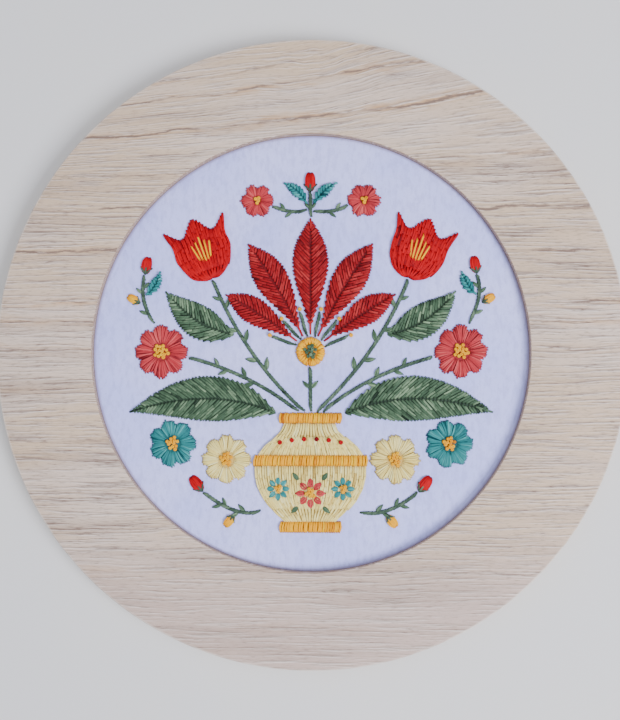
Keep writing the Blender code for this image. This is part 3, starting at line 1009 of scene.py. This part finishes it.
tulip = {
    "centre": (-48.2, 45),
    "turn": 20,
    "half": ((0, -13), (8.5, -10), (12.6, -2), (12.8, 6), (14.6, 14), (7.2, 8.6), (0, 15.6)),
    "curveSteps": 8,
    "pitch": 1.12,            # between the stitches at the tips
    "top": 17,
    "stitch": {"length": 5.6, "width": 1.06},
    "accents": ((-4.4, -4, 4.8), (-2.2, -5.5, 6.4), (0, -6.5, 9.2), (2.2, -5.5, 6.4), (4.4, -4, 4.8)),
    "accentWidth": 0.85,
}


def closedCurve(corners, steps):
    points = []
    for index in range(len(corners)):
        before, start, end, after = (corners[(index + shift) % len(corners)] for shift in (-1, 0, 1, 2))
        for share in np.arange(steps) / steps:
            curve = start * 2 + (end - before) * share
            curve = curve + (before * 2 - start * 5 + end * 4 - after) * share ** 2
            curve = curve + (start * 3 - before - end * 3 + after) * share ** 3
            points.append(curve / 2)
    return np.array(points)


def sewTulip(node, sign):
    lean = radians(tulip["turn"] * sign)
    turning = np.array([[cos(lean), -sin(lean)], [sin(lean), cos(lean)]])
    half = np.array(tulip["half"], float)
    shape = closedCurve(np.concatenate([half, half[-2:0:-1] * (-1, 1)]), tulip["curveSteps"])
    centre = turnedTo(tulip["centre"], sign)
    side = shape[:4 * tulip["curveSteps"] + 1]
    levels = np.linspace(side[0, 1] + 0.3, tulip["top"], 300)
    reach = np.interp(levels, side[:, 1], side[:, 0])
    count = round(side[:, 0].max() * 2 / tulip["pitch"])
    rows = []
    for column, across in acrossOf(count):
        line = np.column_stack([across * reach * 0.985, levels])
        inside = insideBy(line, shape) > 0
        if column % 2:
            inside &= reach * 2 / count > 0.72
        picked = np.flatnonzero(inside)
        if len(picked) > 12:
            rows.append((line[picked] @ turning.T + centre, column))
    sewFilling(node, rows, shape @ turning.T + centre, dict(stitchShape, **tulip["stitch"]), centre)
    # Straight stitches on top of the others, their two ends sunk among them
    accents = []
    height = 1.0 + 0.3 * arc
    height[[0, -1]] -= 0.3
    for across, low, high in tulip["accents"]:
        ends = np.array([[across * 0.55, low], [across, high]]) @ turning.T + centre
        accents.append(stitch(between(*ends), height, tulip["accentWidth"], chance.normal(0, 0.5)))
    sew(node + "_accents", accents, "thread_gold", back=False)


sewTulip("tulip_left", 1)
sewTulip("tulip_right", -1)


# The vase: upright rows that follow its sides, between bands of gold satin. Heights and half widths

vase = {
    "vase_foot": ((-80.2, 13.4), (-78, 14), (-75.8, 13.4)),
    "vase_lower": ((-75.5, 10.8), (-71, 16), (-66, 20.6), (-61, 23.4), (-56, 24.8), (-51.1, 25)),
    "vase_belt": ((-50.8, 25.4), (-48.6, 25.6), (-46.4, 25)),
    "vase_upper": ((-46.1, 23.8), (-42.4, 20.8), (-39, 16.6), (-35.5, 12.8), (-32.1, 11.4)),
    "vase_rim": ((-31.8, 13.6), (-29.7, 14.2), (-27.6, 13.8)),
}
vaseShape = {
    "pitch": 1.08,
    "satinLean": 0.105,
    "satin": {"length": 20, "shoulder": 1.4, "ragged": 0.2},
    "rows": {"length": 5.0, "shoulder": 1.4, "ragged": 0.35},
}


def sewVase(node, profile):
    heights, halves = np.array(profile, float).T
    satin = slotOf[node] == "thread_gold"
    levels = np.linspace(heights[0], heights[-1], 24)
    half = np.interp(levels, heights, halves)
    count = round(halves.max() * 2 / vaseShape["pitch"])
    lean = vaseShape["satinLean"] if satin else 0
    rows = []
    for column, across in acrossOf(count):
        line = np.column_stack([across * half + lean * (levels - levels.mean()), levels])
        if column % 2 and not satin:
            line = line[half * 2 / count > 0.7]
        if len(line) > 3:
            line = line + np.linspace(-0.3, 0.3, len(line))[:, None] * (0, 1)
            rows.append((line, column))
    outline = np.concatenate([np.column_stack([half, levels]), np.column_stack([-half, levels])[::-1]])
    look = dict(stitchShape, **vaseShape["satin" if satin else "rows"])
    strip = (np.column_stack([levels * 0, levels]), np.tile([-1.0, 0.0], (len(levels), 1)), half)
    sewFilling(node, rows, outline, look, strip=strip)


for node, profile in vase.items():
    sewVase(node, profile)
print("tulips and vase sewn")


# Small leaves along the stems, four stitches each: share of the stem, side, length

sprigs = {
    "stem_tulip": ((0.34, -1, 6.5), (0.42, 1, 6), (0.56, -1, 6), (0.64, 1, 5.5), (0.8, -1, 5),
                   (0.86, 1, 4.5)),
    "stem_coral": ((0.42, 1, 6), (0.5, -1, 5.5), (0.66, 1, 5), (0.74, -1, 4.5)),
    "stem_side": ((0.2, 1, 4.5), (0.62, 1, 4), (0.72, -1, 4)),
    "stem_low": ((0.24, -1, 5), (0.34, 1, 5), (0.56, -1, 4.5), (0.64, 1, 4.5)),
    "stem_small": ((0.42, 1, 4), (0.62, -1, 4)),
    "stem_bloom": ((0.5, 1, 5), (0.5, -1, 5)),
    "stem_top": ((0.3, 1, 3.6), (0.3, -1, 3.6)),
}
sprigShape = {"lean": 42, "wide": 0.42, "rows": 4, "gap": 0.5}


def smallLeaf(base, heading, length, wide, count, lift=0.1):
    # Stitches side by side from base to tip, wider apart in the middle
    forward = towards(heading)
    stitches = []
    for row, across in acrossOf(count):
        bulge = np.sin(pi * alongStitch ** 0.85) * (wide / 2 - 0.35) * across
        reach = length * (1 - 0.14 * abs(across)) * (alongStitch * 0.96 + 0.04 * abs(across))
        flat = base + forward * reach[:, None] + leftOf(forward) * bulge[:, None]
        height = lift + 0.5 * arc ** 0.6 * (1.1 - 0.3 * abs(across))
        stitches.append(stitch(flat, height, 0.82 * (0.7 + 0.3 * arc), chance.normal(0.1, 0.6)))
    return stitches


for node, sign, places in bothSides(sprigs):
    line = stemLines[node]
    total = lengthsAlong(line)[-1]
    stitches = []
    for share, side, length in places:
        base, ahead = pointsAlong(line, np.array([share * total, share * total + 0.5]))
        heading = atan2(*(ahead - base)[::-1]) + radians(sprigShape["lean"]) * side * sign
        stitches += smallLeaf(base + towards(heading) * sprigShape["gap"], heading, length,
                              length * sprigShape["wide"], sprigShape["rows"])
    sew(node + "_sprigs", stitches, "thread_sage", back=False)


# Trimmings over the vase: three daisies on its belly and a row of knots round its neck

trim = {
    "daisies": {"vase_daisy_middle": (0, -63, 7.2, "thread_coral"),
                "vase_daisy_left": (-14.4, -61, 5.6, "thread_teal"),
                "vase_daisy_right": (14.4, -61, 5.6, "thread_teal")},
    "petals": 8,
    "neckKnots": ((-13.5, -40.4), (-8.2, -39.4), (-2.8, -39), (2.8, -39), (8.2, -39.4), (13.5, -40.4)),
    "leafPlaces": ((-5.2, -57.2, 128), (5.2, -57.2, 52), (-5.4, -68.8, 222), (5.4, -68.8, 318)),
    "overVase": 1.0,          # height of the vase's own stitches, where these are sewn on top
}

lift = trim["overVase"]
for name, (x, y, radius, slot) in trim["daisies"].items():
    stitches = []
    for petal in range(trim["petals"]):
        turn = petal / trim["petals"] * tau
        base = (x, y) + towards(turn) * radius * 0.3
        stitches += smallLeaf(base, turn, radius * 0.7, radius * 0.52, 3, lift)
    sew(name, stitches, slot, back=False)
    sewKnots(name + "_knots", (x, y), radius * 0.38, "thread_gold", lift + 0.15)
knots = [coilKnot(place, lift, 1.25) for place in trim["neckKnots"]]
sew("vase_neck_knots", knots, "thread_bright_red", strands=1, back=False)
stitches = []
for x, y, heading in trim["leafPlaces"]:
    stitches += smallLeaf((x, y), radians(heading), 4.6, 2.4, 4, lift)
sew("vase_leaves", stitches, "thread_sage", back=False)


# Stamens between the bloom's petals: a line of stem stitch with a knot at its end

stamens = {"angles": (104, 131, 158, 76, 49, 22), "inner": 6.9, "outer": 18.4, "knotGap": 1.2, "width": 0.85}

lines = []
knots = []
for angle in stamens["angles"]:
    direction = towards(radians(angle))
    lines += stemStitches(direction * np.linspace(stamens["inner"], stamens["outer"], 20)[:, None])
    knots.append(coilKnot(direction * (stamens["outer"] + stamens["knotGap"]), 0.15, 1.15))
lines = [(path, wide * stamens["width"], tint) for path, wide, tint in lines]
sew("bloom_stamens", lines, "thread_dark_sage")
sew("bloom_stamen_knots", knots, "thread_gold", strands=1, back=False)
print("sprigs, trimmings and stamens sewn")


# Cloth: stretched over the hoop, turned down round it, and drawn in a little by the stitches

clothShape = {
    "outer": clothHigh.x / mm,
    "fold": 0.8,
    "rings": 84,
    "steps": 300,
    "waves": 9,
    "waveSize": (16, 46),
    "ripple": 0.08,
    "pull": 0.24,
    "pullReach": 2.0,
    "puckerReach": 8,
    "limits": (-0.4, 0.12),   # how far below and above its plane the cloth may lie
}
clothFinish = {
    "pale": asSeen(216, 217, 255),
    "cool": asSeen(202, 206, 253),
    "shade": asSeen(160, 160, 206),
    "rimShade": asSeen(136, 100, 84),
    "rimShadeFrom": 95.9,         # radius where the painted shade beside the board begins
    "rimShadeShare": 0.5,
    "threadPitch": 0.42,
    "slub": ((0.1, 1.4, 1), 2),
    "slubPush": (3.0, 2.0),   # how far thick and thin threads push the weave, both ways
    "grain": ((1.3, 1.3, 1.3), 3),
    "clouds": ((0.025, 0.025, 0.025), 2),
    "mottle": ((0.5, 0.22, 1), 4, 0.6),
    "weaveShade": (-0.2, -1.0, 0, 0.24),
    "grainShade": (0.5, 0.8, 0, 0.24),
    "mottleShade": (0.42, 0.66, 0, 0.3),
    "coolFrom": (0.35, 0.65),
    "roughness": (0.3, 0.7, 0.82, 0.95),
    "relief": (0.05, 0.5),
    "shader": {"Specular IOR Level": 0.2, "Sheen Weight": 0.1},
}


def makeClothFinish():
    made, shader = newMaterial("white cotton")
    place = inMillimetres()
    noises = [noise(place, *clothFinish[name]) for name in ("slub", "grain", "clouds", "mottle")]
    slub, grain, clouds, mottle = noises
    turn = tau / clothFinish["threadPitch"]
    weave = times(*[calc("SINE", plus(times(axis, turn), times(slub, push)))
                    for axis, push in zip(axes(place), clothFinish["slubPush"])])
    shade = plus(spread(weave, *clothFinish["weaveShade"]), spread(grain, *clothFinish["grainShade"]))
    shade = plus(shade, spread(mottle, *clothFinish["mottleShade"]))
    radius = farFrom(stretch(place, (1, 1, 0)), (0, 0, 0))
    # Painted shade on the cloth beside the board's wall, darker and warmer towards the wall
    rimShade = spread(radius, clothFinish["rimShadeFrom"], boardSize["windowRadius"], 0, clothFinish["rimShadeShare"])
    body = mixColour(spread(clouds, *clothFinish["coolFrom"]), clothFinish["pale"], clothFinish["cool"])
    body = mixColour(rimShade, mixColour(shade, body, clothFinish["shade"]), clothFinish["rimShade"])
    height = plus(times(weave, 0.5), times(slub, 0.6))
    paint(shader, body, spread(grain, *clothFinish["roughness"]), height, clothFinish["relief"],
          clothFinish["shader"])
    return made


def clothHeights(flat):
    # Slow ripples of stretched cloth, and a small hollow beside each filling
    height = np.zeros(len(flat))
    for wave in range(clothShape["waves"]):
        heading = chance.uniform(0, tau)
        size = chance.uniform(*clothShape["waveSize"])
        height += np.sin(flat @ towards(heading) * tau / size + chance.uniform(0, tau))
    height *= clothShape["ripple"] / 3
    for outline in outlines:
        low = outline.min(axis=0) - clothShape["puckerReach"]
        high = outline.max(axis=0) + clothShape["puckerReach"]
        near = np.flatnonzero(((flat > low) & (flat < high)).all(axis=1))
        away = np.abs(insideBy(flat[near], outline))
        height[near] -= clothShape["pull"] * np.exp(-away / clothShape["pullReach"])
    return np.clip(height, *clothShape["limits"])


def makeCloth():
    outer, fold, steps = clothShape["outer"], clothShape["fold"], clothShape["steps"]
    low = clothLow.z / mm
    inner = outer - clothThickness
    reach = np.linspace(0.6, outer - fold, clothShape["rings"])
    flat = (reach[:, None, None] * unitCircle(steps)).reshape(-1, 2)
    lift = clothHeights(flat) * np.clip((outer - 3 - np.linalg.norm(flat, axis=1)) / 4, 0, 1)
    top = np.column_stack([flat, clothTop + lift])
    under = np.column_stack([flat, clothTop - clothThickness + lift])
    # The turned edge: round the fold, down its outside and up its inside
    edge = [point[:2] for point in quarterRound(outer, clothTop, fold, -1, -1)[-2::-1]]
    edge += [(outer, level) for level in np.linspace(clothTop - fold, low, 4)[1:]]
    edge += [(inner, level) for level in np.linspace(low, clothTop - clothThickness - 0.3, 4)]
    rings = [top.reshape(-1, steps, 3), ringsOf(np.array(edge), steps), under.reshape(-1, steps, 3)[::-1]]
    points = np.concatenate(rings)
    index = np.arange(points.size // 3).reshape(-1, steps)
    faces = gridFaces(index)[..., [0, 3, 2, 1]].reshape(-1, 4).tolist()
    faces += [index[0].tolist(), index[-1, ::-1].tolist()]
    data = meshOf("stretchedCloth", points, faces)
    data.materials.append(makeClothFinish())
    piece = addObject(data)
    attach(piece, "root")
    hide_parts("cloth")


makeCloth()
print("cloth stretched")


# Floor, light and camera

room = {
    "floorSize": 3000,
    "floorLevel": -0.3,
    "floor": asSeen(230, 226, 206),
    "floorPatches": (0.7, 0.69, 0.67, 1),
    "patches": ((0.02, 0.02, 0.02), 2),
    "patchesFrom": (0.3, 0.7, 0, 0.12),
    "tint": (0.73, 0.765, 1.0),         # daylight in open shade, a little blue
    "worldStrength": 0.53,
    # Where each lamp hangs, its size and its power
    "lamps": {"key": ((0.82, -0.54, 1.08), 0.7, 35.0), "fill": ((-0.6, 0.5, 0.9), 1.0, 4.0),
              "above": ((0.1, 0.1, 1.3), 1.2, 6.8)},
}


def makeFloor():
    half = room["floorSize"] / 2
    corners = [(x * half, y * half, room["floorLevel"]) for x, y in ((-1, -1), (1, -1), (1, 1), (-1, 1))]
    data = meshOf("floor", corners, [(0, 1, 2, 3)])
    made, shader = newMaterial("floor paper")
    patches = spread(noise(inMillimetres(), *room["patches"]), *room["patchesFrom"])
    fill(shader, {"Base Color": mixColour(patches, room["floor"], room["floorPatches"]), "Roughness": 0.9})
    data.materials.append(made)
    floor = addObject(data)


def makeLight():
    for name, (place, size, power) in room["lamps"].items():
        data = bpy.data.lights.new(name, "AREA")
        data.shape = "SQUARE"
        data.size = size
        data.energy = power
        data.color = room["tint"]
        lamp = addObject(data)
        lamp.location = place
        lamp.rotation_euler = (-Vector(place)).to_track_quat("-Z", "Y").to_euler()
    world = bpy.data.worlds.new("studio")
    world.use_nodes = True
    world.node_tree.nodes["Background"].inputs["Color"].default_value = (*room["tint"], 1)
    world.node_tree.nodes["Background"].inputs["Strength"].default_value = room["worldStrength"]
    bpy.context.scene.world = world


view = {
    "tall": 720,                        # height of the image
    "aim": (-0.0001, -0.0039),          # where it looks, on the board's face
    "boardRadius": 316.7,               # of the board in the image
    "above": 0.42,                      # the camera's height over the board's face
    "lean": 2.58,                       # how far it looks from straight down, in degrees
    "leanTowards": (0.52, -0.86),
    "sensor": 36,
}


def makeCamera():
    face = boardHigh.z
    perMetre = view["boardRadius"] / boardHigh.x
    aim = Vector((*view["aim"], face))
    away = tan(radians(view["lean"])) * view["above"]
    foot = Vector(view["leanTowards"]).normalized() * away
    data = bpy.data.cameras.new("camera")
    data.sensor_width = view["sensor"]
    data.lens = perMetre * view["above"] / view["tall"] * view["sensor"]
    camera = addObject(data)
    camera.location = (aim.x + foot.x, aim.y + foot.y, face + view["above"])
    back = (camera.location - aim).normalized()
    right = Vector((0, 1, 0)).cross(back).normalized()
    camera.rotation_euler = Matrix((right, back.cross(right), back)).transposed().to_euler()
    bpy.context.scene.camera = camera


makeFloor()
makeLight()
makeCamera()
print("floor, lights and camera set")
